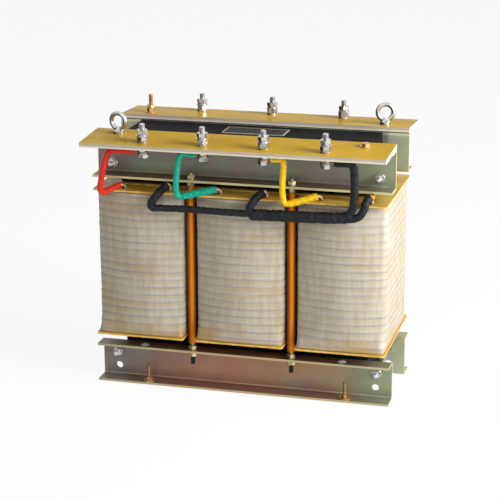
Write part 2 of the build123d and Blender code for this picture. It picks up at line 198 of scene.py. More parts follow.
varnish = Finish("black_varnish", ior=1.45, specular_ior_level=0.008)
sheets = varnish.cloud(0.0022, 2.0, stretch=(0.004, 1.0, 0.004))
runs = varnish.cloud(0.02, 4.0, stretch=(1.0, 1.0, 0.35))
varnish.feed(
    base_color=varnish.mix(varnish.between(runs, 0.35, 0.7), paint(20, 21, 24), paint(36, 37, 41)),
    roughness=varnish.between(sheets + runs * 0.6, 0.5, 1.1, 0.3, 0.55),
    normal=varnish.bump(sheets, 0.0006, 0.7, varnish.bump(runs, 0.0008, 0.5)))
for name in ("core_yoke_top", "core_yoke_bottom", "core_limbs"):
    wear(name, varnish)


# Coils: flat copper strip wound round each limb with a woven glass tape laid over every layer,
# then dipped and baked. The tape's turns lie in level bands about 14 mm high, pulled tight over
# the crowned front. At the foot the coil widens to its plate and the varnish has run together.
coil_side, coil_tip = 0.0805, 0.1158
coil_bore = (0.044, 0.064)
crown_radius = 0.180
coil_corner = 0.015
top_rim, bottom_rim = 0.007, 0.003
flare_height, flare_share = 0.06, 0.8
turn_height = 0.0138
turn_step = 0.0007
turn_sway = 0.0035
turn_bulge = 0.0005
seam_depth = 0.0002
tape_slack = 0.0006
row_height = 0.0019
crown_steps, corner_steps, side_cuts = 16, 10, 15


def finished(name, mesh, finish, replaces=(), smooth=34.0):
    """Makes a piece of a bmesh: faces outwards, edges over the smooth angle sharp, body root."""
    bmesh.ops.remove_doubles(mesh, verts=mesh.verts, dist=1e-6)
    bmesh.ops.recalc_face_normals(mesh, faces=mesh.faces)
    data = bpy.data.meshes.new(name)
    mesh.to_mesh(data)
    mesh.free()
    for face in data.polygons:
        face.use_smooth = True
    data.set_sharp_from_angle(angle=radians(smooth))
    data.materials.append(finish.material)
    piece = bpy.data.objects.new(name, data)
    bpy.context.scene.collection.objects.link(piece)
    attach(piece, "root")
    if replaces:
        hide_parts(*replaces)


def coil_outline(mesh):
    """A quarter of the coil's plan spun from single points, mirrored twice into a closed loop."""
    side = coil_side - coil_corner
    reach = crown_radius - coil_corner
    middle_y = coil_tip - crown_radius
    corner_y = middle_y + sqrt(reach ** 2 - side ** 2)
    crown_turn = radians(90) - (Vector((side, corner_y)) - Vector((0, middle_y))).angle(Vector((1, 0)))
    tip = mesh.verts.new((0, coil_tip, 0))
    crown = bmesh.ops.spin(mesh, geom=[tip], cent=(0, middle_y, 0), axis=(0, 0, 1),
                           angle=-crown_turn, steps=crown_steps)
    joint = crown["geom_last"][0]
    corner = bmesh.ops.spin(mesh, geom=[joint], cent=(side, corner_y, 0), axis=(0, 0, 1),
                            angle=-(pi / 2 - crown_turn), steps=corner_steps)
    end = corner["geom_last"][0]
    run = bmesh.ops.extrude_vert_indiv(mesh, verts=[end])
    run["verts"][0].co.y = 0.0
    bmesh.ops.subdivide_edges(mesh, edges=run["edges"], cuts=side_cuts)
    for axis in ("X", "Y"):
        bmesh.ops.mirror(mesh, geom=mesh.verts[:] + mesh.edges[:], axis=axis, merge_dist=1e-6)
    bmesh.ops.remove_doubles(mesh, verts=mesh.verts, dist=1e-6)


def grow(mesh, edges):
    """Draws new faces out of edges, and gives the new corners and the new edges."""
    grown = bmesh.ops.extrude_edge_only(mesh, edges=edges)["geom"]
    corners = [part for part in grown if isinstance(part, bmesh.types.BMVert)]
    return corners, [part for part in grown if isinstance(part, bmesh.types.BMEdge)]


def taped(place, seed):
    """How far the tape lies inside the coil's outline: laps, seams and slack, by the turn."""
    sway = noise.noise(Vector((place.x * 9, place.y * 9, place.z * 18 + seed))) * turn_sway
    band = (place.z + sway + seed * 0.004) / turn_height
    number = int(band // 1)
    share = band - number
    tightness = 0.6 + 0.8 * noise.noise(Vector((number * 3.7, seed, 0.5)))
    lap = (share - 0.5) * turn_step * tightness
    bulge = noise.noise(Vector((place.x * 14, place.y * 14, number * 1.9 + seed))) * turn_bulge
    seam = -seam_depth if share < 0.1 or share > 0.93 else 0.0
    return min(0.0, lap + bulge + seam - tape_slack)


def wound_coil(name, node, seed):
    """A coil grown row by row from its outline, with rolled rims and its bore left open."""
    low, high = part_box(node)
    middle = (low.x + high.x) / 2
    mesh = bmesh.new()
    coil_outline(mesh)
    rows = round((high.z - low.z) / row_height)
    loop = mesh.edges[:]
    bottom = loop
    for _ in range(rows):
        corners, loop = grow(mesh, loop)
        bmesh.ops.translate(mesh, verts=corners, vec=(0, 0, 1 / rows))
    mesh.normal_update()
    bmesh.ops.recalc_face_normals(mesh, faces=mesh.faces)
    mesh.normal_update()
    outward = {v: Vector((v.normal.x, v.normal.y, 0)).normalized() for v in mesh.verts}
    height = high.z - low.z
    for v in mesh.verts:
        place = Vector((v.co.x, v.co.y, v.co.z * height))
        edge = min(place.z, height - place.z)
        rim = top_rim if place.z > height / 2 else bottom_rim
        pull = rim - sqrt(max(rim ** 2 - max(rim - edge, 0.0) ** 2, 0.0))
        depth = taped(place, seed)
        spread = 1.0 / max(abs(place.x) / coil_side, abs(place.y) / coil_tip)
        flare = flare_share * max(1.0 - place.z / flare_height, 0.0) ** 2
        v.co.x *= 1.0 + flare * (spread - 1.0)
        v.co.y *= 1.0 + flare * (spread - 1.0)
        v.co.z = low.z + place.z
        v.co += outward[v] * (depth - pull)
    caps = []
    for edges in (bottom, loop):
        corners, inner = grow(mesh, edges)
        for v in corners:
            v.co.x = max(-coil_bore[0], min(coil_bore[0], v.co.x))
            v.co.y = max(-coil_bore[1], min(coil_bore[1], v.co.y))
        caps += inner
    bmesh.ops.bridge_loops(mesh, edges=caps)
    bmesh.ops.translate(mesh, verts=mesh.verts, vec=(middle, 0, 0))
    finished(name, mesh, glass_tape, (node,), smooth=60.0)


glass_tape = Finish("glass_tape", ior=1.45, specular_ior_level=0.2)
up = glass_tape.part(2)
turns = ((up + glass_tape.cloud(0.11, 1.0) * turn_sway) / turn_height).fraction()
seams = glass_tape.between(turns, 0.0, 0.26) * glass_tape.between(1.0 - turns, 0.0, 0.2)
broken = glass_tape.between(glass_tape.cloud(0.07, 3.0, stretch=(0.5, 0.5, 3.0)), 0.25, 0.65, 0.15, 1.0)
lines = 1.0 - (1.0 - seams) * broken
warp_threads = glass_tape.cloud(0.0017, 1.0, stretch=(1.0, 1.0, 0.06))
weft_threads = glass_tape.cloud(0.0015, 1.0, stretch=(0.05, 0.05, 1.0))
streaks = glass_tape.cloud(0.009, 3.0, stretch=(1.0, 1.0, 0.16), rough=0.5)
levels = glass_tape.cloud(0.006, 3.0, stretch=(0.12, 0.12, 1.0), rough=0.5)
stains = glass_tape.cloud(0.06, 4.0, stretch=(0.5, 0.5, 1.0), rough=0.6)
speckle = glass_tape.cloud(0.007, 3.0, rough=0.6)
low_end = glass_tape.between(up + glass_tape.cloud(0.03, 4.0) * 0.05, 0.118, 0.165, 1.0, 0.0)
soak = glass_tape.between(stains + low_end * 0.32, 0.5, 0.95)
cloth = glass_tape.mix(glass_tape.between(streaks, 0.35, 0.65), paint(173, 167, 151), paint(185, 182, 171))
warm = glass_tape.between(turns, 0.3, 0.75) * glass_tape.between(stains, 0.3, 0.6, 0.25, 1.0)
cloth = glass_tape.mix(warm * 0.45, cloth, paint(174, 152, 104))
cloth = glass_tape.mix(glass_tape.between(levels, 0.4, 0.7) * 0.25, cloth, paint(176, 156, 112))
cloth = glass_tape.mix(glass_tape.between(speckle, 0.5, 0.75) * 0.25, cloth, paint(160, 136, 96))
cloth = glass_tape.mix(soak * 0.75, cloth, paint(174, 134, 66))
cloth = glass_tape.mix((1.0 - lines) * 0.5, cloth, paint(118, 121, 136))
weave = warp_threads * 0.5 + weft_threads * 0.5
cloth = glass_tape.mix(glass_tape.between(weave, 0.42, 0.6, 0.08, 0.0), cloth, paint(128, 112, 84))
glass_tape.feed(
    base_color=cloth,
    roughness=glass_tape.between(soak, 0.0, 1.0, 0.6, 0.4),
    normal=glass_tape.bump(weave, 0.0003, 0.35, glass_tape.bump(lines, 0.0005, 0.5)))
wound_coil("coil_left_winding", "coil_left", 1.0)
wound_coil("coil_centre_winding", "coil_centre", 2.0)
wound_coil("coil_right_winding", "coil_right", 3.0)


# End plates and spacer strips: amber epoxy glass sheet, sawn to size and left with dull edges.
# A plate lies under and over each coil, and a strip along each face of the core carries the yoke.
amber_sheet = Finish("amber_sheet", ior=1.5, specular_ior_level=0.14)
fibres = amber_sheet.cloud(0.0011, 2.0, stretch=(1.0, 0.12, 1.0))
tone = amber_sheet.cloud(0.05, 4.0)
dust = amber_sheet.cloud(0.012, 5.0, rough=0.65)
flat = amber_sheet.between(abs(amber_sheet.facing(2)), 0.5, 0.9)
face = amber_sheet.mix(amber_sheet.between(tone, 0.35, 0.7), paint(196, 158, 62), paint(214, 182, 92))
face = amber_sheet.mix(amber_sheet.between(dust, 0.55, 0.8) * 0.4, face, paint(206, 192, 138))
edge = amber_sheet.mix(amber_sheet.between(dust, 0.35, 0.7), paint(206, 156, 66), paint(232, 196, 118))
amber_sheet.feed(
    base_color=amber_sheet.mix(flat, edge, face),
    roughness=amber_sheet.between(dust, 0.3, 0.8, 0.3, 0.55),
    normal=amber_sheet.bump(fibres, 0.0002, 0.4))
for name in ("end_plate_top_left", "end_plate_top_centre", "end_plate_top_right", "spacer_strips",
             "end_plate_bottom_left", "end_plate_bottom_centre", "end_plate_bottom_right"):
    wear(name, amber_sheet)


# Clamp channels: steel sheet bent to a channel, drilled, zinc plated and passivated yellow. The
# thin film shows soft green, red and blue clouds, and thickens to gold along the cut edges.
flange_tip, channel_end = 0.0984, 0.2698
passivated = Finish("passivated_zinc", ior=1.5, specular_ior_level=0.3)
patches = passivated.cloud(0.07, 2.0, stretch=(0.6, 1.0, 0.7), warp=0.4)
drift = passivated.cloud(0.08, 3.0, stretch=(0.5, 1.0, 1.3), shift=(3.1, 0.7, 1.9), warp=0.5)
grain = passivated.cloud(0.0025, 3.0, stretch=(0.08, 1.0, 1.0))
blotch = passivated.cloud(0.012, 5.0, rough=0.6, shift=(5.0, 2.0, 0.0))
along, out, up = (passivated.part(axis) for axis in range(3))
far_out, far_along = abs(out), abs(along)
hues = [(0.0, paint(132, 118, 108)), (0.35, paint(128, 119, 113)), (0.5, paint(127, 127, 118)),
        (0.65, paint(126, 134, 116)), (1.0, paint(146, 150, 118))]
film = passivated.node("ShaderNodeValToRGB", {"stops": hues},
                       {0: passivated.between(patches + along * 0.3, 0.2, 0.8)})
film = passivated.mix(passivated.between(along, 0.16, 0.27) * 0.35, film, paint(160, 170, 136))
# Painted light: the rear channels are lightened near both ends.
painted_light_rear_end = passivated.between(far_along, 0.228, 0.236) * passivated.between(out, 0.055, 0.06)
film = passivated.mix(painted_light_rear_end * 0.6, film, paint(196, 200, 166))
low = passivated.between(up, 0.08, 0.1, 1.0, 0.0)
rosy = passivated.between(drift, 0.25, 0.5, 0.4, 1.0) * passivated.between(along, -0.24, -0.08) \
    * passivated.between(along, 0.1, 0.25, 1.0, 0.0) * low
film = passivated.mix(rosy * 0.65, film, paint(178, 118, 84))
film = passivated.mix(passivated.between(drift, 0.55, 0.75) * 0.35, film, paint(132, 100, 98))
film = passivated.mix(passivated.between(blotch, 0.55, 0.78) * 0.2, film, paint(98, 112, 116))
# Painted shade: upward faces low in and under the channels are darkened, most towards the middle.
painted_shade_ledge = passivated.between(passivated.facing(2), 0.7, 0.9) * passivated.between(up, 0.395, 0.4, 1.0, 0.0)
film = passivated.mix(painted_shade_ledge * passivated.between(far_along, 0.17, 0.25, 0.65, 0.1), film, paint(116, 84, 76))
cut_tip = passivated.between(far_out, flange_tip - 0.0006, flange_tip)
cut_end = passivated.between(far_along, channel_end - 0.0005, channel_end)
cut = cut_tip.larger(cut_end)
# Painted shade: the cut edges of the bottom channels are dimmer than those of the top ones.
passivated.feed(
    base_color=passivated.mix(cut * passivated.between(low, 0.0, 1.0, 0.9, 0.45), film, paint(212, 204, 150)),
    metallic=passivated.between(cut + blotch * 0.2, 0.0, 1.0, 0.55, 0.3),
    roughness=passivated.between(grain + blotch * 0.6, 0.4, 1.2, 0.34, 0.55),
    normal=passivated.bump(grain, 0.0002, 0.35))
for name in ("channel_top_front", "channel_top_rear", "channel_bottom_front", "channel_bottom_rear"):
    wear(name, passivated)


# Tubes over the tie rods: glass cloth wound with epoxy on a mandrel, ground and polished, in a
# clear orange brown with fine rings from the grinding. A painted highlight lightens the side that faces front
# right.
painted_highlight_side = (0.34, -0.94)
wound_tube = Finish("wound_tube", ior=1.5, specular_ior_level=0.1)
rings = wound_tube.cloud(0.003, 3.0, stretch=(0.05, 0.05, 1.0))
depth = wound_tube.cloud(0.03, 3.0, stretch=(1.0, 1.0, 0.25))
# Painted highlight: faces turned towards the front right are lightened to a pale orange.
painted_highlight = wound_tube.facing(0) * painted_highlight_side[0] + wound_tube.facing(1) * painted_highlight_side[1]
resin = wound_tube.mix(wound_tube.between(depth + rings * 0.4, 0.5, 1.0), paint(152, 68, 4),
                       paint(176, 92, 8))
wound_tube.feed(
    base_color=wound_tube.mix(wound_tube.between(painted_highlight, 0.75, 1.0) * 0.8, resin, paint(226, 140, 34)),
    roughness=wound_tube.between(rings, 0.3, 0.7, 0.26, 0.42),
    normal=wound_tube.bump(rings, 0.0002, 0.3))
for name in ("tie_tubes_front", "tie_tubes_rear"):
    wear(name, wound_tube)


# Bolts, nuts and washers: turned and pressed steel, nickel or zinc plated. Every stud has its
# rolled thread, each nut its chamfered corners, and no two nuts stand at the same angle.
thread_pitch = 0.0015
thread_depth = 0.0007
chamfer_slope = 0.577


def add(target, part, place):
    """Moves a closed shape to its place in a piece."""
    bmesh.ops.remove_doubles(part, verts=part.verts, dist=1e-6)
    bmesh.ops.transform(part, matrix=place, verts=part.verts)
    data = bpy.data.meshes.new("shape")
    part.to_mesh(data)
    part.free()
    target.from_mesh(data)
    bpy.data.meshes.remove(data)


def turned(target, profile, place, steps=36):
    """A solid turned on its axis from radius and height, from the bottom up."""
    part = bmesh.new()
    ends = [(0.0, profile[0][1])] + profile + [(0.0, profile[-1][1])]
    points = [part.verts.new((radius, 0, height)) for radius, height in ends]
    edges = [part.edges.new(pair) for pair in zip(points, points[1:])]
    bmesh.ops.spin(part, geom=points + edges, cent=(0, 0, 0), axis=(0, 0, 1), angle=2 * pi,
                   steps=steps, use_merge=True)
    add(target, part, place)


def washer(target, diameter, low, high, place):
    radius, edge = diameter / 2, 0.0003
    turned(target, [(radius - edge, low), (radius, low + edge), (radius, high - edge), (radius - edge, high)],
           place)


def stud(target, diameter, low, high, place):
    """A threaded bar: the ridges of the thread, and a chamfer at the upper end."""
    crest, root = diameter / 2, diameter / 2 - thread_depth
    profile = [(root, low)]
    for number in range(int((high - low) / thread_pitch)):
        level = low + number * thread_pitch
        profile += [(root, level + 0.0001), (crest, level + 0.0006), (crest, level + 0.0009),
                    (root, level + 0.0014)]
    turned(target, profile + [(root, high - 0.0004), (root - 0.0008, high)], place, 24)


def nut(target, flats, low, high, turn, place):
    """A hexagon nut or head, with its corners turned off to a cone at both ends."""
    part = bmesh.new()
    bmesh.ops.create_circle(part, cap_ends=False, segments=6, radius=flats / sqrt(3))
    bmesh.ops.subdivide_edges(part, edges=part.edges[:], cuts=7)
    round_end = 0.475 * flats
    bottom, lower = part.verts[:], part.edges[:]
    top, upper = grow(part, lower)
    for ring, edges, end, sign in ((bottom, lower, low, 1), (top, upper, high, -1)):
        for v in ring:
            v.co.z = end + sign * max(v.co.xy.length - round_end, 0.0) * chamfer_slope
        corners, rim = grow(part, edges)
        for v in corners:
            v.co = Vector((*(v.co.xy.normalized() * round_end), end))
        bmesh.ops.edgeloop_fill(part, edges=rim)
    add(target, part, place @ Matrix.Rotation(radians(turn), 4, "Z"))


def spring_washer(target, diameter, low, high, turn, place):
    """A split ring of square wire with its ends a little apart."""
    part = bmesh.new()
    bore, rim, thick = diameter * 0.31, diameter / 2, (high - low) * 0.8
    section = ((bore, low), (rim, low), (rim, low + thick), (bore, low + thick))
    corners = [part.verts.new((radius, 0, height)) for radius, height in section]
    edges = [part.edges.new((corners[k], corners[k - 1])) for k in range(4)]
    bmesh.ops.edgeloop_fill(part, edges=edges)
    spun = bmesh.ops.spin(part, geom=corners + edges, cent=(0, 0, 0), axis=(0, 0, 1), angle=radians(350),
                          dvec=(0, 0, (high - low - thick) / 30), steps=30)
    bmesh.ops.edgeloop_fill(part, edges=[e for e in spun["geom_last"] if isinstance(e, bmesh.types.BMEdge)])
    add(target, part, place @ Matrix.Rotation(radians(turn), 4, "Z"))


def plating(name, light, dark, mirror_like):
    """A plated finish: dull patches, fine scratches, and painted shade that darkens the colour underneath and
    to the left.
    """
    finish = Finish(name, metallic=1.0)
    cloudy = finish.cloud(0.008, 3.0, rough=0.5)
    scratch = finish.cloud(0.0012, 1.0, stretch=(1.0, 1.0, 0.15))
    # Painted shade: faces turned left or down take the dark colour, faces turned right or up the light one.
    shade = finish.between(finish.facing(0) + finish.facing(2) * 0.5, -0.9, 0.9)
    finish.feed(
        base_color=finish.mix(finish.between(shade + cloudy * 0.5, 0.3, 1.0), dark, light),
        roughness=finish.between(cloudy + scratch * 0.4, 0.4, 1.0, mirror_like, mirror_like + 0.2),
        normal=finish.bump(scratch, 0.0001, 0.2))
    return finish


nickel = plating("bright_nickel", paint(206, 205, 204), paint(72, 72, 72), 0.2)
yellow_zinc = plating("yellow_zinc", paint(206, 168, 122), paint(104, 78, 50), 0.26)
steel_sheet = 0.004
small_flats, small_nut = 0.013, 0.0065
small_washer = 0.0016


def upright(x, y):
    return Matrix.Translation((x, y, 0))


# Tie rods: threaded bar from the bottom channel to the top one, with a nut and a washer on each
# side of both flanges, so that the four rods pull the frame onto the coils. Their lower tails,
# below the last nut, are coloured black.
limb_pitch = 0.183
rod_y = 0.088
rod_ends = [corner.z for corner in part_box("tie_rods_front")]
lower_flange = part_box("channel_bottom_front")[1].z - steel_sheet
upper_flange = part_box("channel_top_front")[0].z
tail_top = 0.060
rod_zinc = Finish("zinc_rod_black_tail", metallic=0.9)
# The rods are coloured near black below 60 mm.
bare_tail = rod_zinc.between(rod_zinc.part(2), tail_top - 0.0005, tail_top, 1.0, 0.0)
oily = rod_zinc.cloud(0.006, 3.0)
# Painted light and shade: faces turned right or up take the pale zinc colour, faces turned left or down the
# dark one.
painted_light_from_above = rod_zinc.between(rod_zinc.facing(0) + rod_zinc.facing(2) * 0.5 + oily * 0.4, -0.6, 1.0)
plated = rod_zinc.mix(painted_light_from_above, paint(96, 92, 62), paint(224, 218, 164))
rod_zinc.feed(
    base_color=rod_zinc.mix(bare_tail, plated, paint(20, 19, 18)),
    metallic=rod_zinc.between(bare_tail, 0.0, 1.0, 0.9, 0.1),
    roughness=rod_zinc.between(oily, 0.3, 0.7, 0.26, 0.45),
    normal=rod_zinc.bump(rod_zinc.cloud(0.001, 1.0), 0.0001, 0.2))
for node, side in (("tie_rods_front", -1), ("tie_rods_rear", 1)):
    rods = bmesh.new()
    for number, x in enumerate((-limb_pitch / 2, limb_pitch / 2)):
        place = upright(x, side * rod_y)
        stud(rods, 0.008, rod_ends[0], rod_ends[1], place)
        for turn, flange in ((7, lower_flange), (31, upper_flange)):
            under, over = flange, flange + steel_sheet
            washer(rods, 0.016, under - small_washer, under, place)
            washer(rods, 0.016, over, over + small_washer, place)
            lower, upper = under - small_washer, over + small_washer
            nut(rods, small_flats, lower - small_nut, lower, turn + 17 * number, place)
            nut(rods, small_flats, upper, upper + small_nut, turn - 9 * number, place)
    finished(node + "_fitted", rods, rod_zinc, (node,))


# Clamp bolts: long bolts beside the ends of both yokes, through the webs of the channels. The
# nuts are at the front, with some thread left over.
web_outer = 0.066
clamp_x = 0.242
tail = 0.012
for node, level in (("clamp_bolts_top", 0.406), ("clamp_bolts_bottom", 0.048)):
    bolts = bmesh.new()
    for number, x in enumerate((-clamp_x, clamp_x)):
        place = Matrix.Translation((x, 0, level)) @ Matrix.Rotation(pi / 2, 4, "X")
        turned(bolts, [(0.004, -web_outer), (0.004, 0.05)], place, 24)
        end = web_outer + small_washer + small_nut
        stud(bolts, 0.008, 0.05, end + tail, place)
        washer(bolts, 0.018, web_outer, web_outer + small_washer, place)
        washer(bolts, 0.018, -web_outer - small_washer, -web_outer, place)
        nut(bolts, small_flats, web_outer + small_washer, end, 12 + 21 * number, place)
        nut(bolts, small_flats, -end, -web_outer - small_washer, 5 + 13 * number, place)
    finished(node + "_fitted", bolts, nickel, (node,))


# Foot studs: small zinc plated bolts put up through the bottom flanges, with a wide washer, to
# take an earth lead. Domed plugs of bright metal close the spare holes above them.
foot_shift, foot_y = 0.006, 0.086
foot_nut, foot_stud_end = 0.005, 0.035
studs = bmesh.new()
for x in (-limb_pitch + foot_shift, limb_pitch + foot_shift):
    for y in (-foot_y, foot_y):
        place = upright(x, y)
        over = steel_sheet + small_washer
        turned(studs, [(0.003, 0.0), (0.003, steel_sheet)], place, 24)
        washer(studs, 0.024, steel_sheet, over, place)
        nut(studs, 0.010, over, over + foot_nut, 40 * x / limb_pitch + 9, place)
        stud(studs, 0.006, over + foot_nut, foot_stud_end, place)
finished("foot_studs_fitted", studs, yellow_zinc, ("foot_studs",))
plug_cap = Finish("plug_cap", ior=1.45, specular_ior_level=0.3)
scuffs = plug_cap.cloud(0.004, 4.0)
plug_cap.feed(
    base_color=plug_cap.mix(plug_cap.between(scuffs, 0.35, 0.7), paint(168, 172, 182), paint(214, 216, 222)),
    roughness=plug_cap.between(scuffs, 0.3, 0.7, 0.25, 0.5),
    normal=plug_cap.bump(scuffs, 0.0002, 0.3))
wear("flange_plugs", plug_cap)


# Terminal boards: thick amber epoxy glass board, sawn from a polished sheet and drilled. The
# sawn edges are pale and dull and show the layers, the lower ones paler. Both boards droop a
# little outwards, with the flanges under them.
board_under, board_over = 0.4595, 0.4675
board_end = 0.27
core_face = 0.062
droop = radians(3.2)
pale_layers = 0.0028
board = Finish("epoxy_board", ior=1.5, specular_ior_level=0.01, coat_roughness=0.07)
cloth = board.cloud(0.0012, 2.0, stretch=(1.0, 0.3, 1.0))
shade = board.cloud(0.09, 3.0, stretch=(0.5, 1.0, 1.0))
haze = board.cloud(0.03, 5.0, rough=0.62)
top = board.between(board.facing(2), 0.5, 0.9)
bottom = board.between(board.facing(2), -0.9, -0.5, 1.0, 0.0)
layers = board.cloud(0.0011, 2.0, stretch=(0.02, 0.02, 1.0))
rise = board.part(2) - board_under + (abs(board.part(1)) - core_face) * tan(droop)
painted_light_ends = abs(board.facing(0))
rim = board.mix(board.between(layers, 0.35, 0.65), paint(176, 162, 142), paint(198, 186, 166))
rim = board.mix(board.between(haze, 0.4, 0.75) * 0.4, rim, paint(184, 160, 140))
lower_layers = board.between(rise, pale_layers - 0.0006, pale_layers + 0.0006, 1.0, 0.0)
rim = board.mix(lower_layers, rim, paint(216, 210, 192))
# Painted light: the board's ends, facing sideways, are lightened almost to white.
rim = board.mix(board.between(painted_light_ends, 0.5, 0.9) * 0.7, rim, paint(232, 226, 212))
plate = board.mix(board.between(shade, 0.35, 0.7), paint(196, 152, 12), paint(208, 168, 40))
plate = board.mix(board.between(haze, 0.52, 0.8) * 0.25, plate, paint(208, 190, 124))
left_end = board.between(board.part(0), -board_end, -board_end / 2 - 0.005, 0.45, 0.0)
plate = board.mix(left_end * board.between(haze, 0.3, 0.6), plate, paint(206, 188, 122))
board.feed(
    base_color=board.mix(top + bottom, rim, plate),
    roughness=board.between(haze, 0.35, 0.8, 0.2, 0.4),
    coat_weight=top * board.between(haze, 0.4, 0.8, 0.0, 0.12),
    normal=board.bump(cloth, 0.0001, 0.2))
for name in ("terminal_board_front", "terminal_board_rear"):
    wear(name, board)


# Terminals: ten millimetre bolts put up through the boards, head down, with a nut on each side
# of the board, and above it two washers, a split washer and the nut for the outer cable.
terminal_y = 0.136
flats, nut_height, head_height = 0.017, 0.008, 0.0064
thin_washer, thick_washer = 0.002, 0.003
stud_reach = 0.033
front_x = (-0.162, -0.054, 0.054, 0.162)
rear_x = (-0.135, 0.0, 0.135)


def on_board(x, y):
    """The place of what stands on a board, turned down with the flange under it."""
    side = 1 if y > 0 else -1
    hinge = Matrix.Translation((0, side * core_face, board_under))
    return hinge @ Matrix.Rotation(-side * droop, 4, "X") @ hinge.inverted() @ upright(x, y)


for side, places, gap in ((-1, front_x, 0.003), (1, rear_x, 0.0)):
    for number, x in enumerate(places, 1):
        name = "terminal_%s_%d" % ("front" if side < 0 else "rear", number)
        place = on_board(x, side * terminal_y)
        turn = 13 * number + 5 * side
        fitted = bmesh.new()
        under = board_under - nut_height
        head = under - gap - thin_washer
        nut(fitted, flats, head - head_height, head, turn + 8, place)
        washer(fitted, 0.020, head, head + thin_washer, place)
        nut(fitted, flats, under, board_under, turn + 30, place)
        stud(fitted, 0.010, head, board_over + stud_reach, place)
        level = board_over + thick_washer
        washer(fitted, 0.019, board_over, level, place)
        nut(fitted, flats, level, level + nut_height, turn, place)
        level += nut_height
        washer(fitted, 0.021, level, level + thin_washer, place)
        level += thin_washer
        spring_washer(fitted, 0.017, level, level + thin_washer, turn * 7, place)
        level += thin_washer
        nut(fitted, flats, level, level + nut_height, turn + 21, place)
        finished(name + "_fitted", fitted, nickel, (name,))


# Board fixings: an eye bolt on opposite corners for lifting, and on the other two a plain
# screw at the front and a long brass coloured stud at the rear, all nutted under the channel.
fixing_x, fixing_y = 0.221, 0.090
channel_under = board_under - steel_sheet


def tail_below(target, place, turn):
    low = channel_under - small_washer - small_nut
    stud(target, 0.008, low - 0.004, channel_under, place)
    turned(target, [(0.004, channel_under), (0.004, board_over)], place, 24)
    washer(target, 0.018, channel_under - small_washer, channel_under, place)
    nut(target, small_flats, low, low + small_nut, turn, place)


def eye_bolt(name, x, y, turn):
    """A drop forged ring on its collar. The ring is spun from a circle that lies on its side."""
    bar, ring, centre = 0.004, 0.014, 0.022
    eye = bmesh.new()
    part = bmesh.new()
    bmesh.ops.create_circle(part, cap_ends=False, segments=20, radius=bar)
    bmesh.ops.translate(part, verts=part.verts, vec=(ring, 0, 0))
    bmesh.ops.spin(part, geom=part.verts[:] + part.edges[:], cent=(0, 0, 0), axis=(0, 1, 0),
                   angle=2 * pi, steps=48, use_merge=True)
    through = on_board(x, y)
    place = through @ Matrix.Translation((0, 0, board_over)) @ Matrix.Rotation(radians(turn), 4, "Z")
    add(eye, part, place @ Matrix.Translation((0, 0, centre)))
    foot = [(0.0095, 0.0), (0.010, 0.0005), (0.010, 0.005), (0.009, 0.006), (0.0078, 0.0066),
            (0.0058, 0.0086), (0.0046, 0.0108), (0.0040, 0.0118)]
    turned(eye, foot, place)
    tail_below(eye, through, turn)
    finished(name + "_forged", eye, nickel, (name,))


eye_bolt("lifting_eye_front", -fixing_x, -fixing_y, -12.0)
eye_bolt("lifting_eye_rear", fixing_x, fixing_y, 12.0)

screw_head = 0.0053
seat = board_over + small_washer
screw = bmesh.new()
place = on_board(fixing_x, -fixing_y)
washer(screw, 0.020, board_over, seat, place)
nut(screw, small_flats, seat, seat + screw_head, 10, place)
tail_below(screw, place, 26)
finished("board_screw_front_fitted", screw, yellow_zinc, ("board_screw_front",))

post = bmesh.new()
place = on_board(-fixing_x, fixing_y)
washer(post, 0.020, board_over, seat, place)
nut(post, small_flats, seat, seat + small_nut, 0, place)
nut(post, small_flats, seat + small_nut, seat + 2 * small_nut, 23, place)
stud(post, 0.008, board_over, board_over + 0.034, place)
tail_below(post, place, 4)
finished("board_stud_rear_fitted", post, yellow_zinc, ("board_stud_rear",))


# Rating plate: a thin dark plate with a light border, glued on the top yoke and left blank.
plate_low, plate_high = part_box("rating_plate")
half_length, half_depth = (plate_high.x - plate_low.x) / 2, (plate_high.y - plate_low.y) / 2
border_width, border_blur = 0.0025, 0.001
nameplate = Finish("dark_plate", ior=1.5, specular_ior_level=0.01)
inside = 1.0
for half, off_middle in ((half_length, abs(nameplate.part(0))),
                         (half_depth, abs(nameplate.part(1) - (plate_low.y + plate_high.y) / 2))):
    frame_line = half - border_width
    inside = inside * nameplate.between(off_middle, frame_line - border_blur, frame_line, 1.0, 0.0)
border = 1.0 - inside
smudge = nameplate.cloud(0.02, 4.0)
dark = nameplate.mix(nameplate.between(smudge, 0.35, 0.7), paint(40, 41, 44), paint(56, 57, 60))
nameplate.feed(base_color=nameplate.mix(border, dark, paint(170, 160, 134)),
               roughness=nameplate.between(smudge, 0.3, 0.7, 0.22, 0.4))
wear("rating_plate", nameplate)


# Winding leads: stranded wire in woven silicone sleeves, red, green and yellow, from a ring lug
# under each terminal down past the channel to its coil. The lower ends are wrapped with tape of
# the same colour, and the bare wire beyond is soldered to the winding.
lead_sides = 14
lug_bore, lug_rim, lug_sheet = 0.0049, 0.0095, 0.003
lug_neck, barrel_start = 0.0095, 0.0105
winding_end = 370
sleeve_gloss = 0.34
ring_step = 0.0012
weave_swell = 0.04
tape_lap_step = 0.0007
tape_run_in = 0.004


def centre_line(places):
    """Even steps along a smooth curve that is drawn towards the given places."""
    curve = bpy.data.curves.new("run", "CURVE")
    curve.dimensions = "3D"
    run = curve.splines.new("NURBS")
    run.points.add(len(places) - 1)
    for point, place in zip(run.points, places):
        point.co = (*[value / 1000 for value in place], 1.0)
    run.order_u = 3
    run.use_endpoint_u = True
    run.resolution_u = 24
    holder = bpy.data.objects.new("run", curve)
    data = bpy.data.meshes.new_from_object(holder)
    dense = [v.co.copy() for v in data.vertices]
    bpy.data.objects.remove(holder)
    bpy.data.curves.remove(curve)
    bpy.data.meshes.remove(data)
    line, travelled = [dense[0]], 0.0
    for before, after in zip(dense, dense[1:]):
        travelled += (after - before).length
        if travelled >= ring_step:
            line.append(after)
            travelled = 0.0
    return line


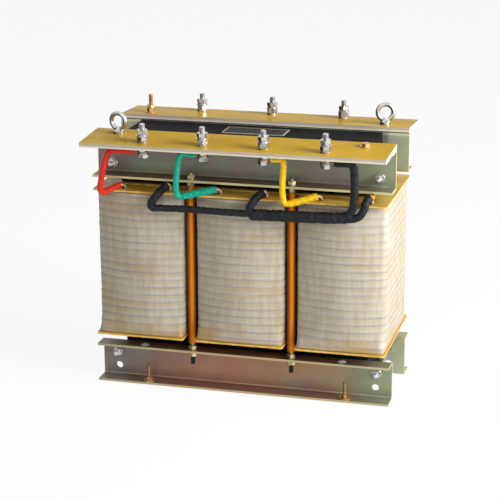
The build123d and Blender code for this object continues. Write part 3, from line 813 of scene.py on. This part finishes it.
def sleeve(target, places, radius):
    """Rings drawn one out of the other along a line, as wide as radius(length, turn) says."""
    line = centre_line(places)
    part = bmesh.new()
    bmesh.ops.create_circle(part, cap_ends=False, segments=lead_sides, radius=1.0)
    start = loop = part.edges[:]
    heading = Vector((0, 0, 1))
    stand = Matrix.Identity(4)
    length = 0.0
    for number, middle in enumerate(line):
        ahead = line[min(number + 1, len(line) - 1)] - line[max(number - 1, 0)]
        swing = heading.rotation_difference(ahead.normalized()).to_matrix().to_4x4()
        heading = ahead.normalized()
        if number:
            length += (middle - line[number - 1]).length
            ring, loop = grow(part, loop)
        else:
            ring = part.verts[:]
        back = stand.inverted()
        turn_to = swing.to_3x3() @ stand.to_3x3()
        stand = Matrix.Translation(middle) @ turn_to.to_4x4()
        for v in ring:
            way = (back @ v.co).xy.normalized()
            v.co = stand @ Vector((*(way * radius(length, way)), 0.0))
    for edges in (start, loop):
        bmesh.ops.edgeloop_fill(part, edges=edges)
    add(target, part, Matrix.Identity(4))


def wrapped(diameter, seed, taped_from=1.0, swell=0.0, lap=0.011):
    """The radius of a lead: woven and plain at first, then wound with tape that laps and bunches.

    Way points round the lead, and the noise changes every 9 mm of its length, under tape every 4.
    """
    def radius(length, way):
        here = Vector((length * 110, way.x * 0.7, way.y * 0.7 + seed))
        plain = diameter / 2 * (1.0 + weave_swell * noise.noise(here))
        if length < taped_from:
            return plain
        round_share = (Vector((1, 0)).angle_signed(way) / (2 * pi)) % 1.0
        step = ((length - taped_from) / lap + round_share) % 1.0
        bunch = noise.noise(Vector((length * 230, way.x, way.y + seed)))
        start = min((length - taped_from) / tape_run_in, 1.0)
        return plain + start * (swell * (0.5 + 0.5 * bunch) + tape_lap_step * step)
    return radius


def ring_lug(target, x, direction):
    """A pressed steel ring lug under the board, its barrel crimped round the wire."""
    hang = on_board(x, -terminal_y)
    level = board_under - nut_height
    under, middle = level - lug_sheet, level - lug_sheet / 2
    turned(target, [(lug_bore, under), (lug_rim, under), (lug_rim, level), (lug_bore, level)], hang, 32)
    part = bmesh.new()
    bmesh.ops.create_cube(part, size=1.0)
    bmesh.ops.scale(part, vec=(0.010, 0.009, lug_sheet), verts=part.verts)
    add(target, part, hang @ Matrix.Translation((direction * lug_neck, 0, middle)))
    barrel = [(0.0042, 0.0), (0.0045, 0.0003), (0.0045, 0.0018), (0.0036, 0.0026), (0.0036, 0.0042),
              (0.0045, 0.005), (0.0045, 0.0067), (0.0042, 0.007)]
    lying = Matrix.Rotation(direction * pi / 2, 4, "Y")
    turned(target, barrel, hang @ Matrix.Translation((direction * barrel_start, 0, middle)) @ lying, 24)


def sleeving(name, light, dark):
    """A woven sleeve: a fine mesh of threads, smooth with silicone and creased; its colour runs from a
    painted highlight to a painted shade in the creases.
    """
    finish = Finish(name, ior=1.45, specular_ior_level=0.4)
    threads = finish.cloud(0.0009, 1.0)
    # Painted shade: the patches that crease the sleeve also take the dark colour, the rest the painted
    # highlight.
    creases_and_painted_shade = finish.cloud(0.005, 4.0, rough=0.6)
    finish.feed(
        base_color=finish.mix(finish.between(creases_and_painted_shade + threads * 0.4, 0.45, 0.95), dark, light),
        roughness=finish.between(creases_and_painted_shade, 0.3, 0.7, sleeve_gloss, sleeve_gloss + 0.16),
        normal=finish.bump(threads, 0.0003, 0.5, finish.bump(creases_and_painted_shade, 0.0008, 0.5)))
    return finish


# Each sleeve's two colours are a painted highlight and a painted shade of its dye.
red_sleeve = sleeving("red_sleeve", paint(226, 44, 22), paint(186, 22, 10))
green_sleeve = sleeving("green_sleeve", paint(12, 176, 146), paint(2, 132, 108))
yellow_sleeve = sleeving("yellow_sleeve", paint(244, 206, 18), paint(214, 164, 4))
solder = plating("tinned_wire", paint(172, 150, 118), paint(84, 68, 50), 0.45)
leads = {
    "lead_red": (red_sleeve, "sleeve_red", -1, front_x[0], 0.128, -0.0006, [
        (-176, -135.4, 446), (-201, -136, 446), (-219, -136, 446), (-228, -136, 441), (-235, -135, 417),
        (-241, -133, 393), (-245, -130, 376), (-245, -127, 367), (-241, -124, 365), (-227, -116, 372),
        (-214, -107, 377)]),
    "lead_green": (green_sleeve, "sleeve_green", -1, front_x[1], 0.112, 0.0018, [
        (-67, -135.4, 446), (-78, -136, 447), (-89, -136, 448), (-97, -136, 441), (-100, -135, 425),
        (-104, -133, 398), (-106, -129, 379), (-104, -126, 368), (-96, -123, 367), (-67, -116, 374),
        (-38, -107, 379)]),
    "lead_yellow": (yellow_sleeve, "sleeve_yellow", 1, front_x[2], 0.104, 0.0014, [
        (67, -135.4, 446), (76, -136, 446), (87, -135, 447), (89, -135, 436), (86, -133, 409),
        (85, -130, 385), (87, -126, 366), (97, -123, 366), (118, -116, 372), (142, -107, 378)]),
}


def bare_end(target, place, away):
    """The tinned wire beyond a sleeve, bent down onto the winding's end on the plate."""
    x, y, z = place
    steps = [(-4, -3, 0.5), (away, 3, -0.5), (away + 2, 5, -4), (away + 2, 6, winding_end - z)]
    sleeve(target, [(x + i, y + j, z + k) for i, j, k in steps], wrapped(0.0062, x, 0.0, 0.0006))


for node, (colour, slot, direction, terminal_x, taped_from, swell, places) in leads.items():
    covered = bmesh.new()
    sleeve(covered, places, wrapped(0.0108, terminal_x * 40, taped_from, swell))
    finished(node + "_sleeve", covered, colour, (node,), smooth=50.0)
    bare = bmesh.new()
    ring_lug(bare, terminal_x, direction)
    bare_end(bare, places[-1], 3)
    finished(node + "_wire", bare, solder, smooth=40.0)


# Neutral lead: the star point, three wires joined along the right coils and wound thickly with
# black tape. It rises to the last terminal, and one branch bends back over the plate to each
# coil. The right one ends in a short orange sleeve.
black_tape = Finish("black_tape", ior=1.5, specular_ior_level=0.16)
stretched = black_tape.cloud(0.006, 4.0, rough=0.6)
fine = black_tape.cloud(0.001, 2.0)
black_tape.feed(
    base_color=black_tape.mix(black_tape.between(stretched, 0.35, 0.75), paint(24, 26, 29),
                              paint(42, 44, 48)),
    roughness=black_tape.between(stretched + fine * 0.3, 0.4, 0.9, 0.36, 0.6),
    normal=black_tape.bump(fine, 0.0002, 0.4, black_tape.bump(stretched, 0.0008, 0.5)))
branches = [
    (0.0126, 0.0008, [(177, -135.4, 446), (193, -136, 446), (206, -136, 447), (211, -136, 437),
                      (212, -135, 414), (211, -132, 384), (208, -129, 362), (196, -127, 347)]),
    (0.0106, 0.0008, [(84, -126, 345), (23, -125, 344), (-34, -124, 344), (-91, -124, 345),
                      (-143, -124, 343), (-152, -125, 344)]),
    (0.0124, 0.0010, [(-143, -124, 343.5), (-152, -125, 343.5), (-154, -126, 350), (-149, -125, 358),
                      (-140, -119, 371), (-128, -107, 382)]),
    (0.0166, 0.0026, [(26, -125.5, 343), (61, -126, 344), (98, -127, 345), (146, -127, 346),
                      (190, -127, 347), (206, -127, 351)]),
    (0.0124, 0.0010, [(40, -125, 342), (27, -126, 343), (24, -126, 351), (29, -125, 361),
                      (36, -118, 373), (47, -107, 380)]),
    (0.0124, 0.0008, [(186, -127, 346), (209, -127, 347), (221, -127, 353), (228, -125, 366),
                      (228, -121, 377), (233, -110, 382)]),
]
covered = bmesh.new()
for number, (diameter, swell, places) in enumerate(branches):
    sleeve(covered, places, wrapped(diameter, number * 5.0, 0.0, swell, lap=0.013))
finished("lead_neutral_taped", covered, black_tape, ("lead_neutral",), smooth=50.0)
bare = bmesh.new()
ring_lug(bare, front_x[3], 1)
for place in ((-128, -107, 382), (47, -107, 380), (233, -110, 382)):
    bare_end(bare, place, 1)
finished("lead_neutral_wire", bare, solder, smooth=40.0)
# Painted highlight and painted shade colours, as for the other sleeves.
orange_sleeve = sleeving("orange_sleeve", paint(246, 150, 36), paint(214, 104, 12))
short_sleeve = bmesh.new()
places = [(232, -112, 381), (233, -110, 382), (237, -107, 382), (240, -105.5, 380)]
sleeve(short_sleeve, places, wrapped(0.0092, 2.0))
finished("lead_neutral_end_sleeve", short_sleeve, orange_sleeve, smooth=50.0)


# Studio: a plain white floor, a broad soft light at the right and a pale room all round. Seen
# straight on or in a reflection, the room and the floor are white.
white = (1.0, 1.0, 1.0, 1.0)
floor_glow = 0.9
room_light = 0.37
floor_mesh = bmesh.new()
bmesh.ops.create_grid(floor_mesh, x_segments=1, y_segments=1, size=30.0)
floor_data = bpy.data.meshes.new("floor")
floor_mesh.to_mesh(floor_data)
floor_mesh.free()
floor = bpy.data.objects.new("floor", floor_data)
bpy.context.scene.collection.objects.link(floor)

paper = Finish("white_paper", base_color=(0.95, 0.95, 0.95, 1.0), roughness=0.9, specular_ior_level=0.0)
glow = paper.node("ShaderNodeEmission", {}, {"Color": white, "Strength": 1.0})
lit_paper = Socket(paper, paper.shader.outputs[0])
blend = paper.node("ShaderNodeMixShader", {}, {0: paper.seen_direct() * floor_glow, 1: lit_paper, 2: glow})
paper.connect(blend, "Material Output", "Surface")
floor_data.materials.append(paper.material)

world = bpy.data.worlds.new("room")
bpy.context.scene.world = world
world.use_nodes = True
world.node_tree.nodes["Background"].inputs["Color"].default_value = white
room = Nodes(world.node_tree)
room.connect(room.seen_direct() * (1.0 - room_light) + room_light, "Background", "Strength")


def soft_light(name, place, aim, size, power):
    data = bpy.data.lights.new(name, "AREA")
    data.shape = "SQUARE"
    data.size = size
    data.energy = power
    lamp = bpy.data.objects.new(name, data)
    lamp.location = place
    lamp.rotation_mode = "QUATERNION"
    lamp.rotation_quaternion = (Vector(place) - Vector(aim)).to_track_quat("Z", "Y")
    bpy.context.scene.collection.objects.link(lamp)


soft_light("window_right", (2.6, -0.7, 1.3), (0.1, 0.0, 0.25), 1.5, 128.0)
soft_light("window_front", (-0.4, -2.8, 2.0), (0.0, 0.0, 0.25), 1.6, 8.0)


# Camera: a long lens a little above the boards, to the right of the middle.
stand_at = (0.76145, -2.86720, 1.13074)
yaw, pitch, roll = radians(15.01), radians(16.87), radians(-0.28)
forward = Vector((-sin(yaw) * cos(pitch), cos(yaw) * cos(pitch), -sin(pitch)))
level_right = Vector((cos(yaw), sin(yaw), 0.0))
level_up = level_right.cross(forward)
right = level_right * cos(roll) + level_up * sin(roll)
upward = level_up * cos(roll) - level_right * sin(roll)
camera_data = bpy.data.cameras.new("camera")
camera_data.sensor_width = 36.0
camera_data.sensor_fit = "HORIZONTAL"
camera_data.lens = 122.774
camera_data.shift_y = 0.01012
camera = bpy.data.objects.new("camera", camera_data)
bpy.context.scene.collection.objects.link(camera)
turn = Matrix((right, upward, -forward)).transposed().to_4x4()
camera.matrix_world = Matrix.Translation(stand_at) @ turn
bpy.context.scene.camera = camera
bpy.context.scene.view_settings.view_transform = "Standard"
